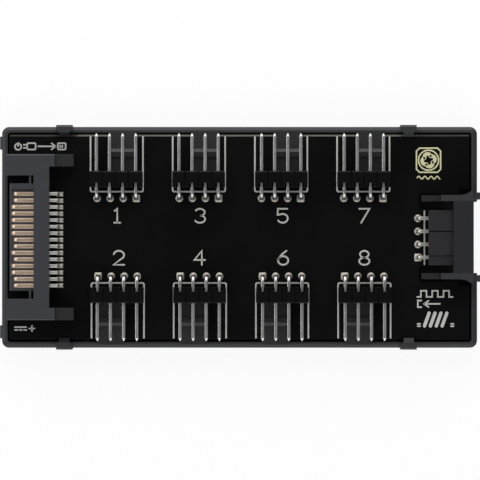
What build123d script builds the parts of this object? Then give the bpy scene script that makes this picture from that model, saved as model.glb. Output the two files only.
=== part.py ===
from build123d import *
import os

# An eight-port hub for four-pin fans: a circuit board with right-angle headers, snapped into a
# moulded tray. X runs along the hub to the control input, Y across it to the odd-numbered ports,
# Z up from the underside. Millimetres.

# Circuit board
board_length = 90.0
board_width = 40.0
board_thick = 1.6
board_corner = 0.6
board_bevel = 0.35

# Case tray
wall = 1.1
end_gap = 0.15
side_gap = 0.4
floor_thick = 1.6
under_board = 3.2
rim_drop = 0.1
case_corner = 1.4
rim_soft = 0.65
rim_slope = 0.35
foot_bevel = 0.4

# Board supports inside the tray
rib_width = 1.5
rib_depth = 1.5
rib_pitch = 60.0
rib_count = 2
post_span = 4.0
post_rib = 1.0
post_pitch = 20.0
post_count = 3

# Snap hooks on the long sides
hook_stations = (-34.1, 32.9)
hook_width = 3.1
hook_nose_width = 2.0
hook_taper = 0.4
hook_proud = 0.35
hook_bite = 0.42
hook_height = 1.3
hook_lip = 0.5
hook_clear = 0.05
hook_foot = 2.2
hook_crown = 0.4
window_depth = 1.1
window_inset = 0.5

# Guide tabs on the left end
tab_spacing = 36.9
tab_width = 2.5
tab_proud = 0.55
tab_low = 1.0
tab_height = 3.6
tab_slope = 0.5

# Magnets under the floor
magnet_length = 12.0
magnet_width = 6.0
magnet_thick = 1.5
magnet_clear = 0.05
magnet_recess = 0.1
magnet_cover = 1.0
magnet_wall = 1.2
magnet_edge = 0.2
magnet_spacing_x = 60.0
magnet_spacing_y = 24.0

# Square pins shared by the fan headers and the control input
pitch = 2.54
pin_count = 4
pin_side = 0.64
tip_length = 0.55
tip_inset = 0.18
pin_tail = 1.4
pin_hole_radius = 0.52
hole_side_count = 8

# Fan headers, in two rows of four
header_column_count = 4
row_start_gap = 8.2
row_end_gap = 10.65
even_row_shift = 0.2
tail_inset = 12.4
fan_pin_lift = 3.6
fan_bend = 1.0
pin_overhang = 0.1
wafer_gap = 2.1
wafer_depth = 3.05
wafer_height = 6.3
wafer_chamfer = 0.2
notch_depth = 0.8
notch_width = 1.1
groove_width = 0.3
groove_depth = 0.3
tongue_pin_count = 2
tongue_overhang = 0.6
tongue_thick = 0.8
tongue_lip = 0.75
ramp_height = 1.6
ramp_start = 3.4
ramp_rise = 0.6
ramp_flat = 0.95

# Control input at the right end
control_tail_inset = 10.25
control_gap = 1.95
control_depth = 3.2
control_hood = 1.45
control_centre = -0.12
control_width = 10.65
control_height = 4.2
control_hood_thick = 1.2
control_pin_lift = 0.9
control_bend = 0.55
control_pin_inset = 1.3
control_latch_width = 4.4
control_latch_centre = -1.25
control_latch_inset = 1.2
latch_thick = 0.9
latch_bump = 0.5
latch_bump_length = 1.2
control_step = 0.5
control_groove = 0.3

# Socket of the control input, part of the tray
socket_inner = 6.95
socket_wall = 1.2
socket_back_gap = 0.6
socket_low_length = 3.6
socket_low_height = 2.2
socket_height = 5.7
roof_thick = 1.2
roof_recess = 1.0
roof_soft = 0.3
flare_length = 2.5
flare_width = 0.95
end_rib_width = 1.3
end_rib_inset = 0.4
sill_height = 4.5
sill_setback = 0.85
slot_clear = 0.35
board_tongue_clear = 0.3

# Power plug at the left end
plug_width = 32.1
plug_overhang = 0.1
plug_height = 5.2
plug_soft = 0.2
block_depth = 8.3
block_width = 4.1
bar_depth = 3.0
arm_length = 4.7
arm_width = 2.35
arm_drop = 0.8
arm_step = 1.08
blade_side_gap = 1.56
blade_setback = 0.6
blade_lift = 2.5
blade_thick = 1.25
blade_lead = 0.3
key_width = 1.1
key_height = 1.0
web_thick = 0.4
web_setback = 0.7
peg_radius = 0.8
peg_clear = 0.05
peg_extra = 0.4

# Contacts of the power plug
contact_count = 15
contact_pitch = 1.27
contact_width = 0.86
contact_thick = 0.25
contact_offset = -0.5
contact_proud = 0.1
contact_margin = 0.35
contact_short = 0.4
short_contacts = (0, 1, 7, 8, 10, 13, 14)
leg_gap = 1.5
leg_slope = 0.25
foot_reach = 2.4
foot_width = 0.62

# Parts under the board
chip_length = 4.9
chip_width = 3.9
chip_height = 1.45
chip_standoff = 0.1
chip_edge = 0.25
leg_count = 4
leg_pitch = 1.27
leg_width = 0.42
leg_thick = 0.2
leg_span = 6.0
leg_knee = 0.35
chip_x = -10.0
switch_side = 4.4
switch_height = 1.0
switch_edge = 0.15
switch_clear = 0.4
switch_spacing = 5.0
fuse_length = 4.6
fuse_width = 3.2
fuse_height = 0.9
fuse_waist = 0.25
fuse_cap = 0.8
fuse_x = -15.4
capacitor_length = 3.2
capacitor_width = 1.6
capacitor_height = 1.5
capacitor_cap = 0.5
capacitor_waist = 0.06
capacitor_x = 10.0
capacitor_spacing = 4.0
capacitor_count = 3
resistor_length = 1.6
resistor_width = 0.85
resistor_height = 0.45
resistor_cap = 0.3
resistor_waist = 0.04
resistor_x = -3.0
resistor_spacing = 2.6
resistor_count = 4

# Heights of the stack
board_bottom = floor_thick + under_board
board_top = board_bottom + board_thick
rim_top = board_top - rim_drop

# Plan of the case
cavity_length = board_length + 2 * end_gap
cavity_width = board_width + 2 * side_gap
case_length = cavity_length + 2 * wall
case_width = cavity_width + 2 * wall
case_end = case_length / 2
case_side = case_width / 2
board_end = board_length / 2
board_side = board_width / 2

# Plan of the control input and its socket
control_tail_x = board_end - control_tail_inset
control_back = control_tail_x + control_gap
control_front = control_back + control_depth
roof_back = control_front + control_hood
roof_front = case_end - roof_recess
sill_front = case_end - sill_setback
socket_back = control_tail_x + socket_back_gap
socket_outer = socket_inner + socket_wall
socket_top = board_top + socket_height
roof_low = socket_top - roof_thick
control_top = board_top + control_height
control_pin_z = board_top + control_pin_lift

# Plan of a fan header of the odd row
tail_y = board_side - tail_inset
wafer_back = tail_y + wafer_gap
wafer_front = wafer_back + wafer_depth
wafer_width = pin_count * pitch
wafer_top = board_top + wafer_height
fan_pin_z = board_top + fan_pin_lift
tongue_end = board_side + tongue_overhang
tongue_width = tongue_pin_count * pitch
tongue_centre = (pin_count - 1 - tongue_pin_count) / 2 * pitch

# Plan of the power plug
plug_front = -board_end - plug_overhang
plug_side = plug_width / 2
bar_back = plug_front + block_depth
bar_front = bar_back - bar_depth
block_inner = plug_side - block_width
blade_half = block_inner - blade_side_gap
arm_end = bar_back + arm_length
plug_top = board_top + plug_height
blade_low = board_top + blade_lift
blade_top = blade_low + blade_thick
blade_front = plug_front + blade_setback
peg_x = bar_back + arm_length / 2
peg_y = plug_side - arm_width / 2

# Places of the fan headers: the even row is the odd row turned half a turn
row_start = arm_end + row_start_gap
header_pitch = (control_tail_x - row_end_gap - row_start) / (header_column_count - 1)
header_xs = [row_start + column * header_pitch for column in range(header_column_count)]
odd_places = [Location((x, 0, 0)) for x in header_xs]
even_places = [Location((x + even_row_shift, 0, 0), (0, 0, 180)) for x in header_xs]
port_places = [place for pair in zip(odd_places, even_places) for place in pair]
pin_offsets = [(pin - (pin_count - 1) / 2) * pitch for pin in range(pin_count)]
control_ys = [control_centre + offset for offset in pin_offsets]
pocket_length = magnet_length + 2 * magnet_clear
pocket_width = magnet_width + 2 * magnet_clear
contact_ys = [contact_offset + ((contact_count - 1) / 2 - n) * contact_pitch for n in range(contact_count)]

os.makedirs("parts", exist_ok=True)

# Snap hook, drawn across the odd side and trimmed to its narrower nose
with BuildPart() as hook:
    with BuildSketch(Plane.YZ):
        with BuildLine():
            Polyline(
                (cavity_width / 2, hook_foot),
                (case_side, hook_foot),
                (case_side + hook_proud, hook_foot + hook_proud),
                (case_side + hook_proud, board_top + hook_height - hook_crown),
                (case_side + hook_proud - hook_crown, board_top + hook_height),
                (board_side + hook_bite, board_top + hook_height),
                (board_side - hook_bite, board_top + hook_lip),
                (board_side - hook_bite, board_top + hook_clear),
                (cavity_width / 2, board_top + hook_clear),
                close=True,
            )
        make_face()
    extrude(amount=hook_width / 2, both=True)
    with BuildSketch(Plane.XY):
        with BuildLine():
            Polyline(
                (-hook_width / 2, case_side + hook_proud),
                (-hook_width / 2, cavity_width / 2 + hook_taper),
                (-hook_nose_width / 2, cavity_width / 2),
                (-hook_nose_width / 2, board_side - hook_bite),
                (hook_nose_width / 2, board_side - hook_bite),
                (hook_nose_width / 2, cavity_width / 2),
                (hook_width / 2, cavity_width / 2 + hook_taper),
                (hook_width / 2, case_side + hook_proud),
                close=True,
            )
        make_face()
    extrude(amount=board_top + hook_height, mode=Mode.INTERSECT)
    mirror(about=Plane.XZ)

# One wall of the control socket: a low cheek, a tall cheek that flares into the rim, and an end rib
with BuildPart() as cheek:
    with BuildSketch(Plane.XY.offset(floor_thick)):
        with BuildLine():
            Polyline(
                (case_end - wall, socket_outer + flare_width),
                (case_end - wall, socket_inner),
                (socket_back + socket_low_length, socket_inner),
                (socket_back + socket_low_length, socket_outer),
                (case_end - wall - flare_length, socket_outer),
            )
            TangentArc(
                (case_end - wall - flare_length, socket_outer),
                (case_end - wall, socket_outer + flare_width),
                tangent=(1, 0),
            )
        make_face()
    extrude(amount=socket_top - floor_thick)
    with BuildSketch(Plane.XY.offset(floor_thick)):
        with Locations((socket_back, socket_inner)):
            Rectangle(socket_low_length, socket_wall, align=(Align.MIN, Align.MIN))
    extrude(amount=board_top + socket_low_height - floor_thick)
    with BuildSketch(Plane.XY.offset(tab_low)):
        with Locations((case_end - wall, socket_inner + end_rib_inset)):
            Rectangle(wall + tab_proud, end_rib_width, align=(Align.MIN, Align.MIN))
    extrude(amount=roof_low - tab_low)
    mirror(about=Plane.XZ)

# Guide tab of the left end, with a sloping top
with BuildPart() as tab:
    with BuildSketch(Plane.XZ):
        with BuildLine():
            Polyline(
                (-case_end, tab_low),
                (-case_end - tab_proud, tab_low),
                (-case_end - tab_proud, tab_low + tab_height - tab_slope),
                (-case_end, tab_low + tab_height),
                close=True,
            )
        make_face()
    extrude(amount=tab_width / 2, both=True)

# Moulded tray
with BuildPart() as case_tray:
    with BuildSketch():
        RectangleRounded(case_length, case_width, case_corner)
    extrude(amount=rim_top)
    rim_face = case_tray.faces().sort_by(Axis.Z)[-1]
    chamfer(rim_face.edges(), rim_soft, rim_slope, reference=rim_face)
    chamfer(case_tray.edges().group_by(Axis.Z)[0], foot_bevel)
    with BuildSketch(Plane.XY.offset(floor_thick)):
        RectangleRounded(cavity_length, cavity_width, board_corner)
    extrude(amount=board_top, mode=Mode.SUBTRACT)

    # Ribs and crossed posts that the board lies on
    with BuildSketch(Plane.XY.offset(floor_thick)):
        with GridLocations(rib_pitch, cavity_width - rib_depth, rib_count, 2):
            Rectangle(rib_width, rib_depth)
    extrude(amount=under_board)
    with BuildSketch(Plane.XY.offset(floor_thick)):
        with GridLocations(post_pitch, 0, post_count, 1):
            Rectangle(post_span, post_rib)
            Rectangle(post_rib, post_span)
    extrude(amount=under_board)

    # Snap hooks, with the moulding windows under their noses
    with Locations([(x, 0, 0) for x in hook_stations]):
        add(hook.part)
    with BuildSketch():
        with Locations([(x, side * cavity_width / 2) for x in hook_stations for side in (1, -1)]):
            Rectangle(hook_nose_width - 2 * window_inset, 2 * window_depth)
        Rectangle(case_length, cavity_width, mode=Mode.INTERSECT)
    extrude(amount=floor_thick, mode=Mode.SUBTRACT)

    # Guide tabs on the left end
    with GridLocations(0, tab_spacing, 1, 2):
        add(tab.part)

    # Pockets for the magnets, inside low bosses
    with BuildSketch(Plane.XY.offset(floor_thick)):
        with GridLocations(magnet_spacing_x, magnet_spacing_y, 2, 2):
            Rectangle(pocket_length + 2 * magnet_wall, pocket_width + 2 * magnet_wall)
    extrude(amount=magnet_recess + magnet_thick + magnet_cover - floor_thick)
    with BuildSketch():
        with GridLocations(magnet_spacing_x, magnet_spacing_y, 2, 2):
            Rectangle(pocket_length, pocket_width)
    extrude(amount=magnet_recess + magnet_thick, mode=Mode.SUBTRACT)

    # Socket of the control input: mouth with a set-back sill, cheeks and roof
    with BuildSketch():
        with Locations((sill_front, 0)):
            Rectangle(case_length, 2 * socket_inner, align=(Align.MIN, Align.CENTER))
    extrude(amount=rim_top, mode=Mode.SUBTRACT)
    with BuildSketch(Plane.XY.offset(sill_height)):
        with Locations((cavity_length / 2, 0)):
            Rectangle(case_length, 2 * socket_inner, align=(Align.MIN, Align.CENTER))
    extrude(amount=rim_top, mode=Mode.SUBTRACT)
    with BuildSketch(Plane.XY.offset(floor_thick)):
        with Locations((sill_front, 0)):
            Rectangle(wall, 2 * socket_inner, align=(Align.MAX, Align.CENTER))
    extrude(amount=sill_height - floor_thick)
    add(cheek.part)
    with BuildSketch(Plane.XY.offset(roof_low)):
        with Locations((roof_back, 0)):
            Rectangle(roof_front - roof_back, 2 * socket_outer, align=(Align.MIN, Align.CENTER))
    extrude(amount=roof_thick)
    roof_edges = case_tray.edges().filter_by(Axis.Y).group_by(Axis.Z)[-1]
    chamfer(roof_edges.sort_by(Axis.X)[0], roof_soft)
case_tray.part.label = "case_tray"
export_step(case_tray.part, "parts/case_tray.step")

# Four flat magnets
with BuildPart() as magnets:
    with BuildSketch(Plane.XY.offset(magnet_recess)):
        with GridLocations(magnet_spacing_x, magnet_spacing_y, 2, 2):
            Rectangle(magnet_length, magnet_width)
    extrude(amount=magnet_thick)
    chamfer(magnets.edges(), magnet_edge)
magnets.part.label = "magnets"
export_step(magnets.part, "parts/magnets.step")

# Circuit board with the slots for the socket walls and all drilled holes
with BuildPart() as circuit_board:
    with BuildSketch(Plane.XY.offset(board_bottom)):
        RectangleRounded(board_length, board_width, board_corner)
        with Locations((control_front - board_tongue_clear, 0)):
            Rectangle(
                board_length,
                2 * (socket_outer + slot_clear),
                align=(Align.MIN, Align.CENTER),
                mode=Mode.SUBTRACT,
            )
        with Locations((case_end - wall - flare_length, 0)):
            Rectangle(
                board_length,
                2 * (socket_outer + flare_width + slot_clear),
                align=(Align.MIN, Align.CENTER),
                mode=Mode.SUBTRACT,
            )
        slot_inner = control_width / 2 + slot_clear
        slot_width = socket_outer + slot_clear - slot_inner
        with Locations(
            (socket_back - slot_clear, slot_inner + slot_width / 2),
            (socket_back - slot_clear, -slot_inner - slot_width / 2),
        ):
            Rectangle(board_length, slot_width, align=(Align.MIN, Align.CENTER), mode=Mode.SUBTRACT)
    extrude(amount=board_thick)
    long_edges = circuit_board.edges().filter_by(Axis.X).group_by(Axis.Z)[-1]
    chamfer(long_edges.group_by(Axis.Y)[-1] + long_edges.group_by(Axis.Y)[0], board_bevel)
    with BuildSketch(Plane.XY.offset(board_bottom)):
        with Locations(*port_places):
            with Locations([(x, tail_y) for x in pin_offsets]):
                RegularPolygon(pin_hole_radius, hole_side_count)
        with Locations([(control_tail_x, y) for y in control_ys]):
            RegularPolygon(pin_hole_radius, hole_side_count)
        with Locations((peg_x, peg_y), (peg_x, -peg_y)):
            RegularPolygon(peg_radius + peg_clear, hole_side_count)
    extrude(amount=board_thick, mode=Mode.SUBTRACT)
circuit_board.part.label = "circuit_board"
export_step(circuit_board.part, "parts/circuit_board.step")

# Fan header of the odd row: wafer with pin holes, back notches and the friction-ramp tongue
with BuildPart() as fan_header:
    with BuildSketch(Plane.XY.offset(board_top)):
        with Locations((0, wafer_back)):
            Rectangle(wafer_width, wafer_depth, align=(Align.CENTER, Align.MIN))
        with Locations([(x, wafer_back) for x in pin_offsets]):
            Rectangle(notch_width, 2 * notch_depth, mode=Mode.SUBTRACT)
    extrude(amount=wafer_height)
    front_edge = fan_header.edges().filter_by(Axis.X).group_by(Axis.Z)[-1].sort_by(Axis.Y)[-1]
    chamfer(front_edge, wafer_chamfer)
    with BuildSketch(Plane.XY.offset(wafer_top)):
        with Locations((0, wafer_back + wafer_depth / 2)):
            with GridLocations(pitch, 0, pin_count - 1, 1):
                Rectangle(groove_width, wafer_depth)
    extrude(amount=-groove_depth, mode=Mode.SUBTRACT)
    with BuildSketch(Plane.XZ.offset(-wafer_front)):
        with Locations([(x, fan_pin_z) for x in pin_offsets]):
            Rectangle(pin_side, pin_side)
    extrude(amount=wafer_depth, mode=Mode.SUBTRACT)
    with BuildSketch(Plane.YZ.offset(tongue_centre)):
        with BuildLine():
            ramp_foot = tongue_end - ramp_start
            Polyline(
                (wafer_front, board_top),
                (tongue_end, board_top),
                (tongue_end, board_top + tongue_lip),
                (ramp_foot, board_top + ramp_height - ramp_rise),
                (ramp_foot - ramp_rise, board_top + ramp_height),
                (ramp_foot - ramp_rise - ramp_flat, board_top + ramp_height),
                (ramp_foot - ramp_rise - ramp_flat, board_top + tongue_thick),
                (wafer_front, board_top + tongue_thick),
                close=True,
            )
        make_face()
    extrude(amount=tongue_width / 2, both=True)

# The four bent pins of a fan header of the odd row
with BuildPart() as fan_pin:
    with BuildSketch(Plane.YZ):
        with BuildLine():
            FilletPolyline(
                (tail_y, board_bottom - pin_tail),
                (tail_y, fan_pin_z),
                (board_side + pin_overhang, fan_pin_z),
                radius=fan_bend,
            )
        trace(line_width=pin_side)
    extrude(amount=pin_side / 2, both=True)
    fan_tip = fan_pin.faces().sort_by(Axis.Y)[-1]
    chamfer(fan_tip.edges(), tip_inset, tip_length, reference=fan_tip)
with BuildPart() as fan_pins:
    with Locations([(x, 0, 0) for x in pin_offsets]):
        add(fan_pin.part)

for port, place in enumerate(port_places, start=1):
    header = fan_header.part.moved(place)
    header.label = f"fan_header_{port}"
    export_step(header, f"parts/{header.label}.step")
    pins = fan_pins.part.moved(place)
    pins.label = f"fan_pins_{port}"
    export_step(pins, f"parts/{pins.label}.step")

# Control header: a block with a hood over its pins and a latch tongue above them
with BuildPart() as control_header:
    with BuildSketch(Plane.XZ.offset(-control_centre)):
        with BuildLine():
            Polyline(
                (control_back, board_top),
                (control_front, board_top),
                (control_front, control_top - control_hood_thick),
                (roof_back, control_top - control_hood_thick),
                (roof_back, control_top),
                (control_back, control_top),
                close=True,
            )
        make_face()
    extrude(amount=control_width / 2, both=True)
    latch_low = control_latch_centre - control_latch_width / 2
    latch_high = control_latch_centre + control_latch_width / 2
    with BuildSketch(Plane.XY.offset(control_top)):
        with Locations((control_back, latch_low)):
            Rectangle(control_depth + control_hood, control_width, align=(Align.MIN, Align.MAX))
        with Locations((control_back, latch_high)):
            Rectangle(control_depth + control_hood, control_groove, align=(Align.MIN, Align.MIN))
    extrude(amount=-control_step, mode=Mode.SUBTRACT)
    with BuildSketch(Plane.XZ.offset(-control_latch_centre)):
        latch_end = case_end - control_latch_inset
        with BuildLine():
            Polyline(
                (roof_back, control_top),
                (latch_end, control_top),
                (latch_end, control_top - latch_thick),
                (latch_end - latch_bump_length, control_top - latch_thick - latch_bump),
                (latch_end - latch_bump_length - latch_bump, control_top - latch_thick),
                (roof_back, control_top - latch_thick),
                close=True,
            )
        make_face()
    extrude(amount=control_latch_width / 2, both=True)
    with BuildSketch(Plane.YZ.offset(control_back)):
        with Locations([(y, control_pin_z) for y in control_ys]):
            Rectangle(pin_side, pin_side)
    extrude(amount=control_depth, mode=Mode.SUBTRACT)
control_header.part.label = "control_header"
export_step(control_header.part, "parts/control_header.step")

# The four bent pins of the control input
with BuildPart() as control_pin:
    with BuildSketch(Plane.XZ):
        with BuildLine():
            FilletPolyline(
                (control_tail_x, board_bottom - pin_tail),
                (control_tail_x, control_pin_z),
                (case_end - control_pin_inset, control_pin_z),
                radius=control_bend,
            )
        trace(line_width=pin_side)
    extrude(amount=pin_side / 2, both=True)
    control_tip = control_pin.faces().sort_by(Axis.X)[-1]
    chamfer(control_tip.edges(), tip_inset, tip_length, reference=control_tip)
with BuildPart() as control_pins:
    with Locations([(0, y, 0) for y in control_ys]):
        add(control_pin.part)
control_pins.part.label = "control_pins"
export_step(control_pins.part, "parts/control_pins.step")

# One contact of the power plug: blade, then a narrower leg and solder foot behind the rear bar
contact_z = blade_top + contact_proud - contact_thick / 2
foot_z = board_top + contact_thick / 2
leg_x = bar_back + leg_gap
with BuildPart() as long_contact:
    with BuildSketch(Plane.XZ):
        with BuildLine():
            Polyline(
                (blade_front + contact_margin, contact_z),
                (leg_x, contact_z),
                (leg_x + leg_slope, foot_z),
                (bar_back + foot_reach, foot_z),
            )
        trace(line_width=contact_thick)
    extrude(amount=contact_width / 2, both=True)
    with BuildSketch(Plane.XY.offset(board_top)):
        with Locations((bar_back, 0)):
            Rectangle(2 * foot_reach, contact_width, align=(Align.MIN, Align.CENTER))
            Rectangle(2 * foot_reach, foot_width, align=(Align.MIN, Align.CENTER), mode=Mode.SUBTRACT)
    extrude(amount=plug_height, mode=Mode.SUBTRACT)
with BuildPart() as short_contact:
    add(long_contact.part)
    split(bisect_by=Plane.YZ.offset(blade_front + contact_margin + contact_short), keep=Keep.TOP)
with BuildPart() as power_contacts_long:
    with Locations([(0, y, 0) for n, y in enumerate(contact_ys) if n not in short_contacts]):
        add(long_contact.part)
power_contacts_long.part.label = "power_contacts_long"
export_step(power_contacts_long.part, "parts/power_contacts_long.step")
with BuildPart() as power_contacts_short:
    with Locations([(0, y, 0) for n, y in enumerate(contact_ys) if n in short_contacts]):
        add(short_contact.part)
power_contacts_short.part.label = "power_contacts_short"
export_step(power_contacts_short.part, "parts/power_contacts_short.step")

# Power plug body: end blocks, rear bar, stepped arms, keyed contact blade on side webs, and pegs
with BuildPart() as power_plug:
    with BuildSketch(Plane.XY.offset(board_top)):
        with Locations((plug_front, 0)):
            Rectangle(block_depth, plug_width, align=(Align.MIN, Align.CENTER))
            Rectangle(
                block_depth - bar_depth,
                2 * block_inner,
                align=(Align.MIN, Align.CENTER),
                mode=Mode.SUBTRACT,
            )
    extrude(amount=plug_height)
    with BuildSketch(Plane.XZ):
        with BuildLine():
            Polyline(
                (bar_back, board_top),
                (arm_end, board_top),
                (arm_end, plug_top - arm_drop),
                (bar_back + arm_step, plug_top - arm_drop),
                (bar_back + arm_step, plug_top),
                (bar_back, plug_top),
                close=True,
            )
        make_face()
    extrude(amount=plug_side, both=True)
    with BuildSketch(Plane.XY.offset(board_top)):
        with Locations((bar_back, 0)):
            Rectangle(arm_length, 2 * (plug_side - arm_width), align=(Align.MIN, Align.CENTER))
    extrude(amount=plug_height, mode=Mode.SUBTRACT)
    outer_edges = power_plug.edges().filter_by(Axis.X).group_by(Axis.Z)[-1]
    chamfer(outer_edges.group_by(Axis.Y)[0] + outer_edges.group_by(Axis.Y)[-1], plug_soft)
    with BuildSketch(Plane.XZ):
        with BuildLine():
            Polyline(
                (bar_front, blade_low),
                (blade_front + blade_lead, blade_low),
                (blade_front, blade_low + blade_lead),
                (blade_front, blade_top - blade_lead),
                (blade_front + blade_lead, blade_top),
                (bar_front, blade_top),
                close=True,
            )
        make_face()
    extrude(amount=blade_half, both=True)
    with BuildSketch(Plane.XY.offset(blade_top)):
        with Locations((bar_front, blade_half)):
            Rectangle(bar_front - blade_front - blade_lead, key_width, align=(Align.MAX, Align.MAX))
    extrude(amount=key_height)
    with BuildSketch(Plane.XY.offset(blade_low)):
        with Locations((bar_front - web_setback, 0)):
            Rectangle(web_thick, 2 * block_inner)
            Rectangle(web_thick, 2 * blade_half, mode=Mode.SUBTRACT)
    extrude(amount=blade_thick + key_height)
    add(power_contacts_long.part, mode=Mode.SUBTRACT)
    add(power_contacts_short.part, mode=Mode.SUBTRACT)
    with BuildSketch(Plane.XY.offset(board_top)):
        with Locations((peg_x, peg_y), (peg_x, -peg_y)):
            RegularPolygon(peg_radius, hole_side_count)
    extrude(amount=-board_thick - peg_extra)
power_plug.part.label = "power_plug"
export_step(power_plug.part, "parts/power_plug.step")


def end_capped(length, width, height, cap, waist):
    """A small block hung from the board, with two end caps that stand proud of its middle."""
    with BuildPart() as block:
        with BuildSketch(Plane.XY.offset(board_bottom)):
            Rectangle(length, width - 2 * waist)
        extrude(amount=waist - height)
        with BuildSketch(Plane.XY.offset(board_bottom)):
            with GridLocations(length - cap, 0, 2, 1):
                Rectangle(cap, width)
        extrude(amount=-height)
    return block.part


# Control chip under the board: a moulded body on two rows of bent legs
with BuildPart() as chip_leg:
    with BuildSketch(Plane.YZ):
        with BuildLine():
            leg_z = board_bottom - leg_thick / 2
            knee_y = chip_width / 2 + leg_knee
            Polyline(
                (0, leg_z - chip_standoff - chip_height / 2),
                (knee_y, leg_z - chip_standoff - chip_height / 2),
                (knee_y, leg_z),
                (leg_span / 2, leg_z),
            )
        trace(line_width=leg_thick)
    extrude(amount=leg_width / 2, both=True)
    mirror(about=Plane.XZ)
with BuildPart() as control_chip:
    with BuildSketch(Plane.XY.offset(board_bottom - chip_standoff)):
        with Locations((chip_x, 0)):
            Rectangle(chip_length, chip_width)
    extrude(amount=-chip_height)
    chamfer(control_chip.edges().group_by(Axis.Z)[0], chip_edge)
    with Locations((chip_x, 0, 0)):
        with GridLocations(leg_pitch, 0, leg_count, 1):
            add(chip_leg.part)
control_chip.part.label = "control_chip"
export_step(control_chip.part, "parts/control_chip.step")

# Two power switches under the board, beside its left post
switch_end = -post_pitch - post_span / 2 - switch_clear
with BuildPart() as power_switches:
    with BuildSketch(Plane.XY.offset(board_bottom)):
        with Locations((switch_end, 0), (switch_end - switch_spacing, 0)):
            Rectangle(switch_side, switch_side, align=(Align.MAX, Align.CENTER))
    extrude(amount=-switch_height)
    chamfer(power_switches.edges().group_by(Axis.Z)[0], switch_edge)
power_switches.part.label = "power_switches"
export_step(power_switches.part, "parts/power_switches.step")

# Fuse, capacitors and resistors under the board
fuse_block = end_capped(fuse_length, fuse_width, fuse_height, fuse_cap, fuse_waist)
with BuildPart() as fuse:
    with Locations((fuse_x, 0, 0)):
        add(fuse_block)
fuse.part.label = "fuse"
export_step(fuse.part, "parts/fuse.step")

capacitor_block = end_capped(
    capacitor_length, capacitor_width, capacitor_height, capacitor_cap, capacitor_waist
)
with BuildPart() as capacitors:
    with Locations((capacitor_x, 0, 0)):
        with GridLocations(0, capacitor_spacing, 1, capacitor_count):
            add(capacitor_block)
capacitors.part.label = "capacitors"
export_step(capacitors.part, "parts/capacitors.step")

resistor_block = end_capped(
    resistor_length, resistor_width, resistor_height, resistor_cap, resistor_waist
)
with BuildPart() as resistors:
    with Locations((resistor_x, 0, 0)):
        with GridLocations(0, resistor_spacing, 1, resistor_count):
            add(resistor_block)
resistors.part.label = "resistors"
export_step(resistors.part, "parts/resistors.step")
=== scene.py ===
"""Looks of the fan hub: finishes, silkscreen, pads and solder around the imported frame, in metres."""
import math

import bmesh
import bpy
from mathutils import Matrix, Vector

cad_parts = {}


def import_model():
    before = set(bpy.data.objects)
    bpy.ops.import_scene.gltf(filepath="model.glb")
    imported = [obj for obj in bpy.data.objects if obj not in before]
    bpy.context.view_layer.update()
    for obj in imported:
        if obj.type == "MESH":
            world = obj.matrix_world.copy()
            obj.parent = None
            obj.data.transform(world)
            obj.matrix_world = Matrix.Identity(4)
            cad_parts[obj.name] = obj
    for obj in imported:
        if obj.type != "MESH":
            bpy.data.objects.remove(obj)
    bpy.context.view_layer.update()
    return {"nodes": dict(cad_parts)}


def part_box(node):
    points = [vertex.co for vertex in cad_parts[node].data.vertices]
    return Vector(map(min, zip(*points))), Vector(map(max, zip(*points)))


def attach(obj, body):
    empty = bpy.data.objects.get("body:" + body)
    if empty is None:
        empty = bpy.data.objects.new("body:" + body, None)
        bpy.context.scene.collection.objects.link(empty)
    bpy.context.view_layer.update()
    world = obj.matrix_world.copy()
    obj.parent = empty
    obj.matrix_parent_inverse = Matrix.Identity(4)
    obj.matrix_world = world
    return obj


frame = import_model()

MM = 0.001
BODY = "root"
NODES = frame["nodes"]
PORTS = range(1, 9)

# Places read from the frame
BOARD_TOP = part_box("circuit_board")[1].z
PLUG_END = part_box("power_plug")[1].x
CONTROL_LOW, CONTROL_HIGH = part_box("control_header")

# Pins and contacts
PIN_SIDE = 0.64 * MM
PIN_COUNT = 4
PITCH = 2.54 * MM
PIN_OFFSETS = [(n - (PIN_COUNT - 1) / 2) * PITCH for n in range(PIN_COUNT)]
CONTACT_COUNT = 15
CONTACT_PITCH = 1.27 * MM
CONTACT_HALF = 0.43 * MM

# Photograph: the frame is 480 pixels square, and this many pixels show a millimetre of the board's top
PHOTO_PIXELS = 480
PIXELS_PER_MM = 5.1375
OBJECT_PIXEL = (239.5, 237.3)
CAMERA_HEIGHT = 0.720
CAMERA_FOOT = (0.0015, -0.005)
SENSOR_MM = 36.0


def port_side(port):
    """1 for the odd-numbered ports, which are along +Y, and -1 for the others."""
    return 1.0 if port % 2 else -1.0


# Materials

# Most values of a noise lie between these two
NOISE_LOW = 0.3
NOISE_HIGH = 0.7

# Half width of the step from one finish to the next
BLEND = 0.1 * MM
SHARP_BLEND = 0.02 * MM

# Depth of the fine detail
GRAIN_DEPTH = 0.006 * MM
FLOW_DEPTH = 0.02 * MM
LINE_DEPTH = 0.004 * MM
CLOUD_DEPTH = 0.03 * MM
SKIN_DEPTH = 0.02 * MM
SPECKLE_DEPTH = 0.01 * MM

# How strongly moulded plastic shows its grain and flow marks, and how far the grain varies its roughness
GRAIN_STRENGTH = 0.35
FLOW_STRENGTH = 0.12
ROUGH_SPREAD = 0.07

# Flow marks of moulded plastic, in cells per metre, and how far they vary a colour
FLOW_SCALE = 160.0
FLOW_STRETCH = (1.0, 2.5, 1.0)
FLOW_SHADES = (0.82, 1.18)


def shade(color, factor):
    return tuple(channel * factor for channel in color)


def about(level, blend):
    """The two ends of a blend about a level."""
    return level - blend, level + blend


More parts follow.
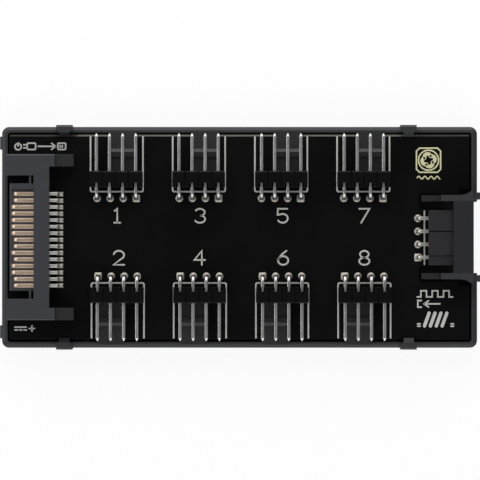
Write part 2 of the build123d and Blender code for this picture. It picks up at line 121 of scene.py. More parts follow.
class Surface:
    """A principled material, with helpers for the procedural detail that feeds it."""

    def __init__(self, name, color, roughness, metallic=0.0, specular=0.5):
        self.material = bpy.data.materials.new(name)
        self.material.use_nodes = True
        self.tree = self.material.node_tree
        self.shader = self.tree.nodes["Principled BSDF"]
        self.put("Base Color", (*color, 1.0))
        self.put("Roughness", roughness)
        self.put("Metallic", metallic)
        self.put("Specular IOR Level", specular)
        self.place = self.node("ShaderNodeTexCoord").outputs["Object"]

    def put(self, socket, value):
        self.shader.inputs[socket].default_value = value

    def node(self, kind, **settings):
        made = self.tree.nodes.new(kind)
        for name, value in settings.items():
            setattr(made, name, value)
        return made

    def link(self, source, target):
        self.tree.links.new(source, target)

    def feed(self, socket, value):
        self.link(value, self.shader.inputs[socket])

    def noise(self, scale, detail=2.0, stretch=(1.0, 1.0, 1.0)):
        """Noise over the object, with scale in cells per metre."""
        mapping = self.node("ShaderNodeMapping")
        mapping.inputs["Scale"].default_value = stretch
        self.link(self.place, mapping.inputs["Vector"])
        texture = self.node("ShaderNodeTexNoise")
        texture.inputs["Scale"].default_value = scale
        texture.inputs["Detail"].default_value = detail
        self.link(mapping.outputs["Vector"], texture.inputs["Vector"])
        return texture.outputs["Fac"]

    def axis(self, name, source=None):
        """One coordinate of the place on the object, or of another vector."""
        split = self.node("ShaderNodeSeparateXYZ")
        self.link(source or self.place, split.inputs["Vector"])
        return split.outputs[name]

    def math(self, operation, first, second=0.0):
        node = self.node("ShaderNodeMath", operation=operation)
        for socket, value in zip(node.inputs, (first, second)):
            if isinstance(value, float):
                socket.default_value = value
            else:
                self.link(value, socket)
        return node.outputs["Value"]

    def square(self, value):
        return self.math("MULTIPLY", value, value)

    def remap(self, value, low, high, start=0.0, end=1.0):
        """value from start to end becomes low to high, held at the ends."""
        ramp = self.node("ShaderNodeMapRange")
        ramp.inputs["From Min"].default_value = start
        ramp.inputs["From Max"].default_value = end
        ramp.inputs["To Min"].default_value = low
        ramp.inputs["To Max"].default_value = high
        self.link(value, ramp.inputs["Value"])
        return ramp.outputs["Result"]

    def above(self, value, level, blend):
        """0 under a level and 1 over it, blended on both sides of the level."""
        return self.remap(value, 0.0, 1.0, *about(level, blend))

    def below(self, value, level, blend):
        """1 under a level and 0 over it, blended on both sides of the level."""
        return self.remap(value, 1.0, 0.0, *about(level, blend))

    def mix(self, factor, first, second):
        """A colour from first to second, each a colour or a socket."""
        mixer = self.node("ShaderNodeMix", data_type="RGBA")
        self.link(factor, mixer.inputs["Factor"])
        for socket, value in ((mixer.inputs["A"], first), (mixer.inputs["B"], second)):
            if isinstance(value, tuple):
                socket.default_value = (*value, 1.0)
            else:
                self.link(value, socket)
        return mixer.outputs["Result"]

    def mottle(self, noise, color, dark, light):
        """A colour that the noise varies from a dark to a light shade."""
        return self.mix(noise, shade(color, dark), shade(color, light))

    def rough(self, noise, low, high):
        """Roughness that the noise varies from low to high."""
        self.feed("Roughness", self.remap(noise, low, high, NOISE_LOW, NOISE_HIGH))

    def bump(self, *layers):
        """Bump from (height socket, depth in metres, strength) layers, one on top of the other."""
        last = None
        for height, depth, strength in layers:
            bump = self.node("ShaderNodeBump")
            bump.inputs["Strength"].default_value = strength
            bump.inputs["Distance"].default_value = depth
            self.link(height, bump.inputs["Height"])
            if last is not None:
                self.link(last, bump.inputs["Normal"])
            last = bump.outputs["Normal"]
        self.feed("Normal", last)

    def moulding(self, grain):
        """Faint flow marks and a fine eroded grain in the surface, returned as noise to colour it with."""
        flow = self.noise(FLOW_SCALE, 3.0, FLOW_STRETCH)
        fine = self.noise(grain)
        self.bump((fine, GRAIN_DEPTH, GRAIN_STRENGTH), (flow, FLOW_DEPTH, FLOW_STRENGTH))
        return flow, fine


def moulded(name, color, roughness, grain, specular=0.5):
    """Moulded plastic of one colour."""
    surface = Surface(name, color, roughness, specular=specular)
    flow, fine = surface.moulding(grain)
    surface.feed("Base Color", surface.mottle(flow, color, *FLOW_SHADES))
    surface.rough(fine, *about(roughness, ROUGH_SPREAD))
    return surface.material


# Inner half width of the control socket, and levels under its roof and about the tops of its low cheeks,
# which get painted shade
SOCKET_INNER = 7.0 * MM
ROOF_LEVEL = BOARD_TOP + 5.0 * MM
CHEEK_LOW = BOARD_TOP + 1.7 * MM
CHEEK_HIGH = BOARD_TOP + 2.7 * MM


def case_plastic():
    """Black moulding of the tray, with painted shade: a darker colour and less sheen on the socket's roof
    and low cheeks than on the rest of the same moulding.
    """
    color = (0.0152, 0.0158, 0.0192)
    surface = Surface("case_plastic_black", color, 0.5, specular=0.45)
    flow, fine = surface.moulding(7000.0)
    height = surface.axis("Z")
    across = surface.math("ABSOLUTE", surface.axis("Y"))
    inside = surface.below(across, SOCKET_INNER, BLEND)
    roof = surface.math("MULTIPLY", inside, surface.above(height, ROOF_LEVEL, BLEND))
    over_cheek = surface.above(height, CHEEK_LOW, BLEND)
    cheek = surface.math("MULTIPLY", over_cheek, surface.below(height, CHEEK_HIGH, BLEND))
    # Painted shade: the roof and the low cheeks are the same plastic, darkened and with less sheen
    painted_shade_socket = surface.math("MAXIMUM", roof, cheek)
    body = surface.mottle(flow, color, *FLOW_SHADES)
    dark = surface.mottle(flow, color, 0.36, 0.52)
    surface.feed("Base Color", surface.mix(painted_shade_socket, body, dark))
    surface.feed("Specular IOR Level", surface.remap(painted_shade_socket, 0.45, 0.34))
    surface.rough(fine, 0.43, 0.57)
    return surface.material


# The bare edge of the board, a pale line that is partly painted highlight: faint before its start, and
# dimmer after its end
SCORE_START = -31.5 * MM
SCORE_START_BLEND = 0.3 * MM
SCORE_FAINT = 0.3
SCORE_END = 34.4 * MM
SCORE_END_BLEND = 0.5 * MM
SCORE_DIMMED = 0.35


def board_mask():
    """Black solder mask over glass laminate, with pale bare laminate only on the scored edge that faces +Y,
    beside the odd-numbered ports: real bare laminate, kept to the side that faces the light as a painted
    highlight.
    """
    mask = (0.0019, 0.0019, 0.0022)
    scored = (0.17, 0.165, 0.145)
    side = (0.045, 0.04, 0.026)
    surface = Surface("black_solder_mask", mask, 0.42, specular=0.075)
    weave = surface.node("ShaderNodeTexChecker")
    weave.inputs["Scale"].default_value = 1900.0
    surface.link(surface.place, weave.inputs["Vector"])
    cloud = surface.noise(90.0, 3.0)
    fibre = surface.noise(5200.0, 2.0, (0.12, 1.0, 1.0))
    x = surface.axis("X")
    begun = surface.remap(x, SCORE_FAINT, 1.0, *about(SCORE_START, SCORE_START_BLEND))
    dimmed = surface.remap(x, 1.0, SCORE_DIMMED, *about(SCORE_END, SCORE_END_BLEND))
    normal = surface.node("ShaderNodeNewGeometry").outputs["True Normal"]
    # Painted highlight: the pale laminate goes only on the scored edge that faces +Y, towards the light;
    # the edge facing -Y stays black
    faces_lit_side = surface.remap(surface.axis("Y", normal), 0.0, 1.0, 0.4, 0.6)
    bare_and_lit_edge = surface.math("MULTIPLY", faces_lit_side, surface.math("MULTIPLY", begun, dimmed))
    upright = surface.math("ABSOLUTE", surface.axis("Z", normal))
    is_side = surface.remap(upright, 1.0, 0.0, 0.2, 0.4)
    coated = surface.mottle(cloud, mask, 0.8, 1.3)
    bare = surface.mottle(fibre, scored, 0.55, 1.0)
    top = surface.mix(bare_and_lit_edge, coated, bare)
    surface.feed("Base Color", surface.mix(is_side, top, side))
    surface.rough(cloud, 0.36, 0.5)
    surface.bump((weave.outputs["Fac"], LINE_DEPTH, 0.08), (cloud, CLOUD_DEPTH, 0.1))
    return surface.material


def plated(name, color, roughness, drawn):
    """Plated metal with fine lines along the way it was drawn."""
    surface = Surface(name, color, roughness, metallic=1.0)
    lines = surface.noise(9000.0, 2.0, drawn)
    stain = surface.noise(700.0, 3.0)
    surface.feed("Base Color", surface.mottle(stain, color, 0.86, 1.06))
    surface.rough(lines, roughness - 0.08, roughness + 0.1)
    surface.bump((lines, LINE_DEPTH, 0.12))
    return surface.material


# Contacts of the power plug: where gold ends and tin begins, before the end of the plug's arms, the
# rounding of tip and sides, and where the contacts turn browner towards their sides, as shares of the pitch
GOLD_END = PLUG_END - 5.2 * MM
TIN_START = PLUG_END - 4.6 * MM
TIP_ROUND = 0.85 * MM
CONTACT_CROWN = 1.8 * MM
BROWN_SIDE_START = 0.24
BROWN_SIDE_END = 0.34


def contact_metal(name, node):
    """Gold plate on the blade, rounded over at its tip and sides, that turns to tin on the solder foot."""
    gold = (0.64, 0.49, 0.375)
    tin = (0.66, 0.64, 0.60)
    side_brown = (0.26, 0.165, 0.11)
    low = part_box(node)[0]
    surface = Surface(name, gold, 0.34, metallic=1.0)
    x = surface.axis("X")
    lines = surface.noise(8000.0, 2.0, (0.06, 1.0, 1.0))
    stain = surface.noise(900.0, 3.0)
    worn = surface.mottle(stain, gold, 0.82, 1.1)
    plate = surface.mix(surface.remap(x, 0.0, 1.0, GOLD_END, TIN_START), worn, tin)
    edge = low.y + CONTACT_HALF - CONTACT_PITCH / 2
    turns = surface.math("DIVIDE", surface.math("SUBTRACT", surface.axis("Y"), edge), CONTACT_PITCH)
    aside = surface.math("SUBTRACT", surface.math("FRACT", turns), 0.5)
    # The contacts turn browner towards their sides
    browner_sides = surface.remap(surface.math("ABSOLUTE", aside), 0.0, 1.0, BROWN_SIDE_START, BROWN_SIDE_END)
    surface.feed("Base Color", surface.mix(browner_sides, plate, side_brown))
    surface.rough(lines, 0.26, 0.44)
    ahead = surface.remap(x, TIP_ROUND, 0.0, low.x, low.x + TIP_ROUND)
    drop = surface.math("MULTIPLY", surface.square(ahead), -0.5 / TIP_ROUND)
    crown = surface.math("MULTIPLY", surface.square(aside), -0.5 * CONTACT_PITCH ** 2 / CONTACT_CROWN)
    surface.bump((lines, LINE_DEPTH, 0.25), (surface.math("ADD", drop, crown), 1.0, 1.0))
    return surface.material


def solder():
    """Reflowed solder with a slightly matte, wrinkled skin and a warm tint from the flux."""
    color = (0.45, 0.415, 0.36)
    surface = Surface("solder", color, 0.42, metallic=0.75)
    skin = surface.noise(2600.0, 3.0)
    surface.feed("Base Color", surface.mottle(skin, color, 0.75, 1.08))
    surface.rough(skin, 0.34, 0.54)
    surface.bump((skin, SKIN_DEPTH, 0.3))
    return surface.material


# Between the tops of the fan headers' tongues and of their wafers
TONGUE_LEVEL = BOARD_TOP + 1.9 * MM


def header_plastic():
    """Black moulding of the fan headers, one plastic: the tongues get a lighter colour and more sheen than
    the wafers, as painted light where their slopes face the lamps.
    """
    wafer = (0.0014, 0.0014, 0.0017)
    painted_lit_tongue = (0.0065, 0.0065, 0.0075)
    surface = Surface("header_plastic_black", wafer, 0.36)
    fine = surface.noise(6500.0)
    # Painted light: below TONGUE_LEVEL the same plastic is made lighter and glossier
    low = surface.below(surface.axis("Z"), TONGUE_LEVEL, BLEND)
    surface.feed("Base Color", surface.mix(low, wafer, painted_lit_tongue))
    surface.feed("Specular IOR Level", surface.remap(low, 0.12, 0.5))
    surface.rough(fine, 0.29, 0.43)
    surface.bump((fine, GRAIN_DEPTH, GRAIN_STRENGTH))
    return surface.material


# Where the arms of the power plug leave its bar, and its painted shade begins
PLUG_ARM_START = PLUG_END - 3.62 * MM


def plug_plastic():
    """Grey moulding of the power plug; its two arms are painted darker as painted shade, and speckled by
    the grain.
    """
    color = (0.0208, 0.0226, 0.0272)
    surface = Surface("plug_plastic_grey", color, 0.45)
    flow, fine = surface.moulding(6000.0)
    # Painted shade: the arms are the same plastic, given a much darker colour
    painted_shade_arms = surface.above(surface.axis("X"), PLUG_ARM_START, SHARP_BLEND)
    body = surface.mottle(flow, color, *FLOW_SHADES)
    dark = surface.mottle(fine, color, 0.04, 0.16)
    surface.feed("Base Color", surface.mix(painted_shade_arms, body, dark))
    surface.rough(fine, 0.38, 0.54)
    return surface.material


def ink(name, color):
    """Screen-printed ink: slightly uneven cover with a mesh grain."""
    surface = Surface(name, color, 0.55)
    cover = surface.noise(2200.0, 3.0)
    mesh = surface.noise(9000.0, 1.0)
    surface.feed("Base Color", surface.mottle(cover, color, 0.78, 1.06))
    surface.bump((mesh, GRAIN_DEPTH, 0.3))
    return surface.material


def end_capped(name, color, node, cap):
    """A small block with tinned ends: the body colour between the caps, along X."""
    tin = (0.6, 0.58, 0.55)
    low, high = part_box(node)
    surface = Surface(name, color, 0.4)
    middle = (low.x + high.x) / 2
    end = (high.x - low.x) / 2
    reach = surface.math("ABSOLUTE", surface.math("SUBTRACT", surface.axis("X"), middle))
    capped = surface.above(reach, end - cap, SHARP_BLEND)
    speckle = surface.noise(3000.0, 3.0)
    body = surface.mottle(speckle, color, 0.8, 1.15)
    surface.feed("Base Color", surface.mix(capped, body, tin))
    surface.feed("Metallic", capped)
    surface.bump((speckle, SPECKLE_DEPTH, 0.2))
    return surface.material


CASE = case_plastic()
PLUG = plug_plastic()
HEADER = header_plastic()
SOCKET = moulded("socket_plastic_black", (0.0112, 0.0104, 0.0132), 0.45, 6500.0, specular=0.35)
EPOXY = moulded("chip_epoxy", (0.02, 0.02, 0.021), 0.6, 9000.0)
BOARD = board_mask()
FAN_PIN = plated("tin_plate_fan", (0.545, 0.542, 0.55), 0.3, (1.0, 0.05, 1.0))
CONTROL_PIN = plated("tin_plate_control", (0.62, 0.61, 0.58), 0.3, (0.05, 1.0, 1.0))
NICKEL = plated("nickel_plate", (0.6, 0.58, 0.54), 0.22, (0.05, 1.0, 1.0))
LONG_CONTACT = contact_metal("gold_and_tin_long", "power_contacts_long")
SHORT_CONTACT = contact_metal("gold_and_tin_short", "power_contacts_short")
FUSE = end_capped("fuse_green", (0.05, 0.13, 0.07), "fuse", 0.8 * MM)
CAPACITOR = end_capped("capacitor_tan", (0.4, 0.27, 0.16), "capacitors", 0.5 * MM)
RESISTOR = end_capped("resistor_black", (0.03, 0.03, 0.032), "resistors", 0.3 * MM)
SOLDER = solder()
WHITE_INK = ink("white_ink", (0.53, 0.532, 0.50))
YELLOW_INK = ink("pale_yellow_ink", (0.62, 0.60, 0.36))


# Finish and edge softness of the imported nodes

WELD_REACH = 0.001 * MM
EDGE_ANGLE = math.radians(30.0)
FINISHES = {
    "case_tray": (CASE, 0.12 * MM),
    "circuit_board": (BOARD, 0.0),
    "control_header": (SOCKET, 0.08 * MM),
    "control_pins": (CONTROL_PIN, 0.05 * MM),
    "power_plug": (PLUG, 0.09 * MM),
    "power_contacts_long": (LONG_CONTACT, 0.09 * MM),
    "power_contacts_short": (SHORT_CONTACT, 0.09 * MM),
    "control_chip": (EPOXY, 0.02 * MM),
    "power_switches": (EPOXY, 0.03 * MM),
    "fuse": (FUSE, 0.03 * MM),
    "capacitors": (CAPACITOR, 0.03 * MM),
    "resistors": (RESISTOR, 0.02 * MM),
    "magnets": (NICKEL, 0.05 * MM),
}
for port in PORTS:
    FINISHES[f"fan_header_{port}"] = (HEADER, 0.07 * MM)
    FINISHES[f"fan_pins_{port}"] = (FAN_PIN, 0.13 * MM)


def dress(node, material, edge):
    """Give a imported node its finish, and a small round on its sharp edges."""
    obj = NODES[node]
    for slot in obj.material_slots:
        slot.material = material
    if not edge:
        return
    weld = obj.modifiers.new("weld", "WELD")
    weld.merge_threshold = WELD_REACH
    bevel = obj.modifiers.new("edge", "BEVEL")
    bevel.width = edge
    bevel.segments = 2
    bevel.limit_method = "ANGLE"
    bevel.angle_limit = EDGE_ANGLE
    bevel.harden_normals = True


for node, (material, edge) in FINISHES.items():
    dress(node, material, edge)


# Pieces of mesh


def piece(name, mesh, material, smooth=False):
    """Make an object from a bmesh, and let it ride on the hub."""
    bmesh.ops.recalc_face_normals(mesh, faces=mesh.faces)
    data = bpy.data.meshes.new(name)
    mesh.to_mesh(data)
    mesh.free()
    for polygon in data.polygons:
        polygon.use_smooth = smooth
    obj = bpy.data.objects.new(name, data)
    bpy.context.scene.collection.objects.link(obj)
    data.materials.append(material)
    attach(obj, BODY)
    return obj


def bridge(mesh, one, two):
    """Join two rings that have as many points with quads."""
    count = len(one)
    for n in range(count):
        m = (n + 1) % count
        mesh.faces.new((one[n], one[m], two[m], two[n]))


# Strokes of ink

INK_HEIGHT = 0.025 * MM
INK_SINK = 0.004 * MM
INK_SHOULDER = 0.72
INK_PROFILE = (
    (-1.0, -INK_SINK),
    (-INK_SHOULDER, INK_HEIGHT),
    (INK_SHOULDER, INK_HEIGHT),
    (1.0, -INK_SINK),
)
CAP_STEPS = (72.0, 48.0, 24.0)
SHARPEST_MITRE = 0.5


def bead(mesh, path, half_width, closed=False):
    """Add one stroke of ink along a path of (x, y) points: a low flat-topped ridge with round ends."""
    points = [Vector(point) for point in path]
    count = len(points)
    rows = []
    for n, point in enumerate(points):
        before = points[n - 1] if n or closed else None
        after = points[(n + 1) % count] if n < count - 1 or closed else None
        into = (point - before).normalized() if before is not None else None
        out = (after - point).normalized() if after is not None else None
        along = into + out if into is not None and out is not None else (into if out is None else out)
        along.normalize()
        across = Vector((-along.y, along.x))
        ahead = along * half_width
        reach = half_width
        if into is not None and out is not None:
            reach = half_width / max(SHARPEST_MITRE, along.dot(out))
        if before is None:
            for turn in map(math.radians, CAP_STEPS):
                rows.append((point - ahead * math.sin(turn), across, half_width * math.cos(turn)))
        rows.append((point, across, reach))
        if after is None:
            for turn in map(math.radians, reversed(CAP_STEPS)):
                rows.append((point + ahead * math.sin(turn), across, half_width * math.cos(turn)))

    rings = []
    for place, across, reach in rows:
        ring = []
        for share, height in INK_PROFILE:
            spot = place + across * reach * share
            ring.append(mesh.verts.new((spot.x, spot.y, BOARD_TOP + height)))
        rings.append(ring)
    for one, two in zip(rings, rings[1:]):
        bridge(mesh, one, two)
    if closed:
        bridge(mesh, rings[-1], rings[0])
    else:
        mesh.faces.new(rings[0])
        mesh.faces.new(reversed(rings[-1]))


def strokes(mesh, drawing, place, pen, size=1.0):
    """Ink a drawing of (path, closed) strokes in millimetres about a place in millimetres."""
    for path, closed in drawing:
        points = [((place[0] + x * size) * MM, (place[1] + y * size) * MM) for x, y in path]
        bead(mesh, points, pen * MM, closed)


def arc(centre, radii, start, end, steps=14):
    """Points along an elliptic arc, with angles in degrees."""
    turns = [math.radians(start + (end - start) * n / steps) for n in range(steps + 1)]
    return [(centre[0] + radii[0] * math.cos(t), centre[1] + radii[1] * math.sin(t)) for t in turns]


def loop(centre, radii, steps=24):
    return arc(centre, radii, 0.0, 360.0, steps)[:-1]


def frame_path(half_x, half_y, cut):
    """A closed rectangle with cut corners."""
    return [
        (half_x, half_y - cut),
        (half_x - cut, half_y),
        (-half_x + cut, half_y),
        (-half_x, half_y - cut),
        (-half_x, -half_y + cut),
        (-half_x + cut, -half_y),
        (half_x - cut, -half_y),
        (half_x, -half_y + cut),
    ]


# Numbers of the ports, as pen strokes in millimetres about their middle: (path, closed)
DIGITS = {
    1: [([(-0.5, 0.95), (0.0, 1.36), (0.0, -1.36)], False), ([(-0.58, -1.36), (0.58, -1.36)], False)],
    2: [(arc((0.0, 0.5), (1.02, 0.86), 165.0, -28.0) + [(-1.04, -1.36), (1.04, -1.36)], False)],
    3: [
        (arc((0.0, 0.67), (0.94, 0.69), 150.0, -80.0), False),
        (arc((0.0, -0.66), (1.02, 0.70), 80.0, -152.0), False),
    ],
    4: [([(0.42, -1.36), (0.42, 1.36), (-1.04, -0.42), (1.04, -0.42)], False)],
    5: [([(0.9, 1.36), (-0.92, 1.36), (-0.98, 0.2)] + arc((0.0, -0.5), (1.0, 0.86), 118.0, -150.0), False)],
    6: [
        ([(0.62, 1.36), (-0.2, 0.72), (-0.72, 0.12), (-0.95, -0.36)], False),
        (loop((0.0, -0.52), (0.99, 0.84)), True),
    ],
    7: [([(-1.0, 1.36), (1.0, 1.36), (-0.62, -1.36)], False)],
    8: [(loop((0.0, 0.7), (0.84, 0.66)), True), (loop((0.0, -0.66), (1.0, 0.70)), True)],
}
DIGIT_PEN = 0.17
DIGIT_PLACES = {
    1: (-23.8, 4.2),
    2: (-23.5, -4.0),
    3: (-7.7, 4.2),
    4: (-7.75, -4.0),
    5: (8.4, 4.2),
    6: (8.5, -4.0),
    7: (24.3, 4.2),
    8: (24.3, -4.0),
}


def port_numbers():
    mesh = bmesh.new()
    for digit, place in DIGIT_PLACES.items():
        strokes(mesh, DIGITS[digit], place, DIGIT_PEN)
    return piece("port_numbers", mesh, WHITE_INK)


# Outlines printed round the fan headers, and the line behind the control header
OUTLINE_HALF = 5.1
OUTLINE_BACK = 8.9
OUTLINE_CORNER = 0.2
OUTLINE_EDGE = 19.55
OUTLINE_PEN = 0.16
CONTROL_LINE_GAP = 0.7
CONTROL_LINE_LOW = 0.2
CONTROL_LINE_HIGH = 0.1


def port_outlines():
    mesh = bmesh.new()
    shape = [
        (-OUTLINE_HALF, OUTLINE_EDGE),
        (-OUTLINE_HALF, OUTLINE_BACK + OUTLINE_CORNER),
        (-OUTLINE_HALF + OUTLINE_CORNER, OUTLINE_BACK),
        (OUTLINE_HALF - OUTLINE_CORNER, OUTLINE_BACK),
        (OUTLINE_HALF, OUTLINE_BACK + OUTLINE_CORNER),
        (OUTLINE_HALF, OUTLINE_EDGE),
    ]
    for port in PORTS:
        low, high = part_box(f"fan_pins_{port}")
        centre = (low.x + high.x) / 2 / MM
        strokes(mesh, [(shape, False)], (centre, 0.0), OUTLINE_PEN, port_side(port))
    back = CONTROL_LOW.x / MM - CONTROL_LINE_GAP
    line = [(back, CONTROL_LOW.y / MM + CONTROL_LINE_LOW), (back, CONTROL_HIGH.y / MM - CONTROL_LINE_HIGH)]
    strokes(mesh, [(line, False)], (0.0, 0.0), OUTLINE_PEN)
    return piece("port_outlines", mesh, WHITE_INK)


port_numbers()
port_outlines()


# Pads and solder

# Radius and height in millimetres round a ring-shaped pad and its solder cone
PAD_PROFILE = (
    (0.30, -0.01),
    (0.75, -0.01),
    (0.75, 0.035),
    (0.70, 0.06),
    (0.56, 0.12),
    (0.46, 0.20),
    (0.38, 0.32),
    (0.30, 0.32),
)
PAD_SEGMENTS = 24
SQUARE_FROM = 0.6
SQUARE_CORNER = 1.3


def pad(mesh, x, y, square):
    """A plated ring round a pin with its solder cone; the first pin's pad is square."""
    rings = []
    for radius, height in PAD_PROFILE:
        ring = []
        for n in range(PAD_SEGMENTS):
            turn = 2 * math.pi * n / PAD_SEGMENTS
            reach = radius
            if square and radius > SQUARE_FROM:
                side = max(abs(math.cos(turn)), abs(math.sin(turn)))
                reach = min(radius / side, radius * SQUARE_CORNER)
            spot_x = x + reach * MM * math.cos(turn)
            spot_y = y + reach * MM * math.sin(turn)
            ring.append(mesh.verts.new((spot_x, spot_y, BOARD_TOP + height * MM)))
        rings.append(ring)
    for one, two in zip(rings, rings[1:] + rings[:1]):
        bridge(mesh, one, two)


def fan_pads():
    mesh = bmesh.new()
    for port in PORTS:
        low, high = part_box(f"fan_pins_{port}")
        centre = (low.x + high.x) / 2
        side = port_side(port)
        tail = (low.y if side > 0 else high.y) + side * PIN_SIDE / 2
        for n, offset in enumerate(PIN_OFFSETS):
            pad(mesh, centre + side * offset, tail, n == PIN_COUNT - 1)
    return piece("fan_pads", mesh, SOLDER, smooth=True)


def control_pads():
    mesh = bmesh.new()
    low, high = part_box("control_pins")
    for n, offset in enumerate(PIN_OFFSETS):
        pad(mesh, low.x + PIN_SIDE / 2, (low.y + high.y) / 2 + offset, n == 0)
    return piece("control_pads", mesh, SOLDER, smooth=True)


# Solder on the contacts' feet, in millimetres: place along X from the end of the foot, half width, height
FOOT_STATIONS = (
    (-1.30, 0.47, 0.03),
    (-0.95, 0.49, 0.05),
    (-0.60, 0.46, 0.13),
    (-0.12, 0.46, 0.14),
    (0.02, 0.45, 0.09),
    (0.10, 0.44, 0.03),
)
FOOT_SINK = 0.01
FOOT_RIM = 0.03
FOOT_FLAT = 0.8


def contact_pads():
    """A pad and a solder fillet round the foot of every contact of the power plug."""
    mesh = bmesh.new()
    foot_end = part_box("power_contacts_long")[1].x
    first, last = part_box("power_contacts_short")
    middle = (first.y + last.y) / 2
    for n in range(CONTACT_COUNT):
        y = middle + (n - CONTACT_COUNT // 2) * CONTACT_PITCH
        rings = []
        for along, half, height in FOOT_STATIONS:
            x = foot_end + along * MM
            rise = ((-1.0, -FOOT_SINK), (-1.0, FOOT_RIM), (-FOOT_FLAT, height))
            profile = rise + tuple((-share, z) for share, z in reversed(rise))
            ring = [mesh.verts.new((x, y + share * half * MM, BOARD_TOP + z * MM)) for share, z in profile]
            rings.append(ring)
        for one, two in zip(rings, rings[1:]):
            bridge(mesh, one, two)
        mesh.faces.new(rings[0])
        mesh.faces.new(reversed(rings[-1]))
    return piece("contact_pads", mesh, SOLDER, smooth=True)


fan_pads()
control_pads()
contact_pads()


# Signs printed in place of words: strokes in millimetres about the middle of their place

PULSE_START = -3.4
PULSE_EDGES = (-2.7, -1.6, -0.5, 0.6, 1.7, 2.8)
PULSE_END = 3.5
PULSE_LEVEL = 0.6


def pulse_path():
    """A square wave that starts and ends low."""
    level = -PULSE_LEVEL
    path = [(PULSE_START, level)]
    for x in PULSE_EDGES:
        path += [(x, level), (x, -level)]
        level = -level
    return path + [(PULSE_END, level)]


POWER_SIGN = [(arc((0.0, -0.06), (0.62, 0.62), 120.0, 420.0), False), ([(0.0, 0.05), (0.0, 0.68)], False)]
PLUG_SIGN = [
    (frame_path(0.8, 0.62, 0.15), True),
    ([(-1.5, 0.3), (-0.95, 0.3)], False),
    ([(-1.5, -0.3), (-0.95, -0.3)], False),
]
ARROW_SIGN = [([(-1.7, 0.0), (1.6, 0.0)], False), ([(0.9, 0.6), (1.7, 0.0), (0.9, -0.6)], False)]
BOARD_SIGN = [
    (frame_path(0.75, 0.62, 0.12), True),
    ([(-0.3, -0.2), (-0.3, 0.2)], False),
    ([(0.1, -0.2), (0.1, 0.2)], False),
]
DIRECT_SIGN = [
    ([(-1.1, 0.28), (1.1, 0.28)], False),
    ([(-1.1, -0.28), (-0.65, -0.28)], False),
    ([(-0.22, -0.28), (0.22, -0.28)], False),
    ([(0.65, -0.28), (1.1, -0.28)], False),
]
PLUS_SIGN = [([(-0.5, 0.0), (0.5, 0.0)], False), ([(0.0, -0.5), (0.0, 0.5)], False)]
PULSE_SIGN = [(pulse_path(), False)]
ENTRY_SIGN = [
    ([(2.4, 0.0), (-0.6, 0.0)], False),
    ([(0.2, 0.6), (-0.7, 0.0), (0.2, -0.6)], False),
    ([(-1.2, 0.65), (-1.9, 0.65), (-1.9, -0.65), (-1.2, -0.65)], False),
]
DASH_SIGN = [([(-0.25, 0.0), (0.25, 0.0)], False), ([(-0.25, 0.45), (0.25, 0.45)], False)]
SIGN_PEN = 0.15
SIGN_PLACES = (
    (POWER_SIGN, (-43.1, 17.7)),
    (PLUG_SIGN, (-40.5, 17.7)),
    (ARROW_SIGN, (-37.5, 17.7)),
    (BOARD_SIGN, (-34.6, 17.7)),
    (DIRECT_SIGN, (-42.6, -17.75)),
    (PLUS_SIGN, (-40.4, -17.75)),
    (PULSE_SIGN, (38.0, -11.0)),
    (ENTRY_SIGN, (36.6, -12.95)),
    (DASH_SIGN, (34.9, -17.3)),
    (DASH_SIGN, (41.4, -17.3)),
)

# Four plain slanted stripes, as in a field for a batch mark
BATCH_FIELD = [([(x - 0.45, -1.25), (x + 0.45, 1.25)], False) for x in (-1.75, -0.6, 0.55, 1.7)]
BATCH_PLACE = (38.2, -16.0)
BATCH_PEN = 0.33

# A fan in its square frame over a breath of wind, in the second ink. Each blade has the place of its
# middle, as shares of its radius, and the angle that it starts at
FAN_SIGN = [(frame_path(2.35, 2.35, 0.6), True), (loop((0.0, 0.0), (1.95, 1.95), 36), True)]
FAN_PLACE = (36.8, 15.0)
FAN_PEN = 0.15
BLADE_RADIUS = 0.62
BLADE_SWEEP = 170.0
BLADE_STARTS = ((1.0, 0.3, -60.0), (-0.3, 1.0, 30.0), (-1.0, -0.3, 120.0), (0.3, -1.0, 210.0))
BLADE_PEN = 0.36
WIND_START = -2.2
WIND_STEP = 0.2
WIND_HEIGHT = 0.28
WIND_TURN = 1.05
WIND_POINTS = 23
WIND_PLACE = (36.8, 11.6)
WIND_PEN = 0.13


def signs():
    mesh = bmesh.new()
    for drawing, place in SIGN_PLACES:
        strokes(mesh, drawing, place, SIGN_PEN)
    strokes(mesh, BATCH_FIELD, BATCH_PLACE, BATCH_PEN)
    return piece("board_signs", mesh, WHITE_INK)


def fan_sign():
    mesh = bmesh.new()
    strokes(mesh, FAN_SIGN, FAN_PLACE, FAN_PEN)
    for x, y, turn in BLADE_STARTS:
        centre = (BLADE_RADIUS * x, BLADE_RADIUS * y)
        blade = arc(centre, (BLADE_RADIUS, BLADE_RADIUS), turn, turn + BLADE_SWEEP)
        strokes(mesh, [(blade, False)], FAN_PLACE, BLADE_PEN)
    wind = [(WIND_START + WIND_STEP * n, WIND_HEIGHT * math.sin(n * WIND_TURN)) for n in range(WIND_POINTS)]
    strokes(mesh, [(wind, False)], WIND_PLACE, WIND_PEN)
    return piece("fan_sign", mesh, YELLOW_INK)


signs()
fan_sign()


# Floor, light and camera

FLOOR_HALF = 3.0
FLOOR_GLOW = 0.9

# Soft panels: name, place, target, width, height and radiance
PANELS = (
    ("key_panel", (-0.10, 0.55, 0.20), (-0.10, 0.0, 0.20), 0.9, 0.42, 2.4),
    ("high_key_panel", (-0.05, 0.42, 0.52), (0.0, 0.0, 0.0), 0.9, 0.36, 1.9),
    ("fill_panel", (0.10, -0.55, 0.20), (0.10, 0.0, 0.20), 0.9, 0.42, 1.0),
    ("high_fill_panel", (0.05, -0.42, 0.52), (0.0, 0.0, 0.0), 0.9, 0.36, 1.5),
    ("left_panel", (-0.52, 0.05, 0.36), (0.0, 0.0, 0.0), 0.3, 0.3, 2.8),
)
WORLD_STRENGTH = 0.25


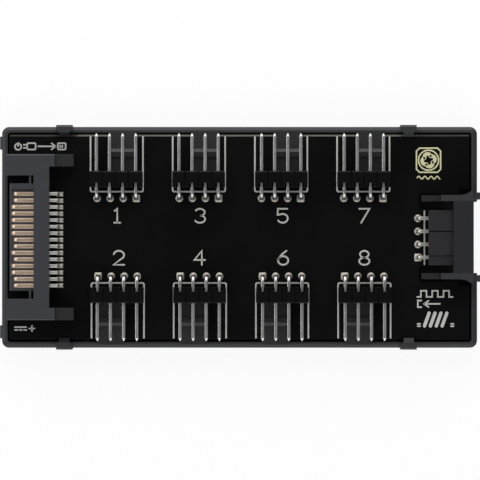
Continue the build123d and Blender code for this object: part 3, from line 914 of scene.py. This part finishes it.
def floor():
    """A plain pale floor that looks white to the camera and keeps the hub's shadow."""
    mesh = bmesh.new()
    bmesh.ops.create_grid(mesh, x_segments=1, y_segments=1, size=FLOOR_HALF)
    data = bpy.data.meshes.new("floor")
    mesh.to_mesh(data)
    mesh.free()
    obj = bpy.data.objects.new("floor", data)
    bpy.context.scene.collection.objects.link(obj)
    material = bpy.data.materials.new("floor_white")
    material.use_nodes = True
    nodes = material.node_tree.nodes
    links = material.node_tree.links
    shader = nodes["Principled BSDF"]
    shader.inputs["Base Color"].default_value = (0.9, 0.9, 0.9, 1.0)
    shader.inputs["Roughness"].default_value = 0.8
    shader.inputs["Specular IOR Level"].default_value = 0.1
    glow = nodes.new("ShaderNodeEmission")
    path = nodes.new("ShaderNodeLightPath")
    seen = path.outputs["Is Camera Ray"]
    for ray in ("Is Glossy Ray", "Is Transmission Ray"):
        either = nodes.new("ShaderNodeMath")
        either.operation = "MAXIMUM"
        links.new(seen, either.inputs[0])
        links.new(path.outputs[ray], either.inputs[1])
        seen = either.outputs["Value"]
    share = nodes.new("ShaderNodeMath")
    share.operation = "MULTIPLY"
    share.inputs[1].default_value = FLOOR_GLOW
    links.new(seen, share.inputs[0])
    mix = nodes.new("ShaderNodeMixShader")
    links.new(share.outputs["Value"], mix.inputs["Fac"])
    links.new(shader.outputs["BSDF"], mix.inputs[1])
    links.new(glow.outputs["Emission"], mix.inputs[2])
    links.new(mix.outputs["Shader"], nodes["Material Output"].inputs["Surface"])
    data.materials.append(material)


def lamp(name, place, target, width, height, radiance):
    """A soft panel of even radiance that no camera sees."""
    data = bpy.data.lights.new(name, "AREA")
    data.shape = "RECTANGLE"
    data.size = width
    data.size_y = height
    data.energy = radiance * math.pi * width * height
    obj = bpy.data.objects.new(name, data)
    bpy.context.scene.collection.objects.link(obj)
    obj.location = place
    obj.rotation_euler = (Vector(target) - obj.location).to_track_quat("-Z", "Y").to_euler()
    obj.visible_camera = False


def world():
    scene = bpy.context.scene
    scene.world = bpy.data.worlds.new("studio")
    scene.world.use_nodes = True
    background = scene.world.node_tree.nodes["Background"]
    background.inputs["Color"].default_value = (1.0, 1.0, 1.0, 1.0)
    background.inputs["Strength"].default_value = WORLD_STRENGTH


def camera():
    """The photograph's camera: high above the hub, a little towards the even-numbered ports, with +Y up."""
    data = bpy.data.cameras.new("photo_camera")
    data.sensor_width = SENSOR_MM
    data.sensor_fit = "HORIZONTAL"
    data.clip_end = 20.0
    target = Vector((
        (PHOTO_PIXELS / 2 - OBJECT_PIXEL[0]) / PIXELS_PER_MM * MM,
        (OBJECT_PIXEL[1] - PHOTO_PIXELS / 2) / PIXELS_PER_MM * MM,
        BOARD_TOP,
    ))
    place = Vector((*CAMERA_FOOT, BOARD_TOP + CAMERA_HEIGHT))
    view = PHOTO_PIXELS / PIXELS_PER_MM * MM
    data.lens = SENSOR_MM * (place - target).length / view
    obj = bpy.data.objects.new("photo_camera", data)
    bpy.context.scene.collection.objects.link(obj)
    obj.location = place
    back = (place - target).normalized()
    right = Vector((0.0, 1.0, 0.0)).cross(back).normalized()
    obj.rotation_euler = Matrix((right, back.cross(right), back)).transposed().to_euler()
    bpy.context.scene.camera = obj


floor()
for panel in PANELS:
    lamp(*panel)
world()
camera()
bpy.context.scene.view_settings.view_transform = "Standard"
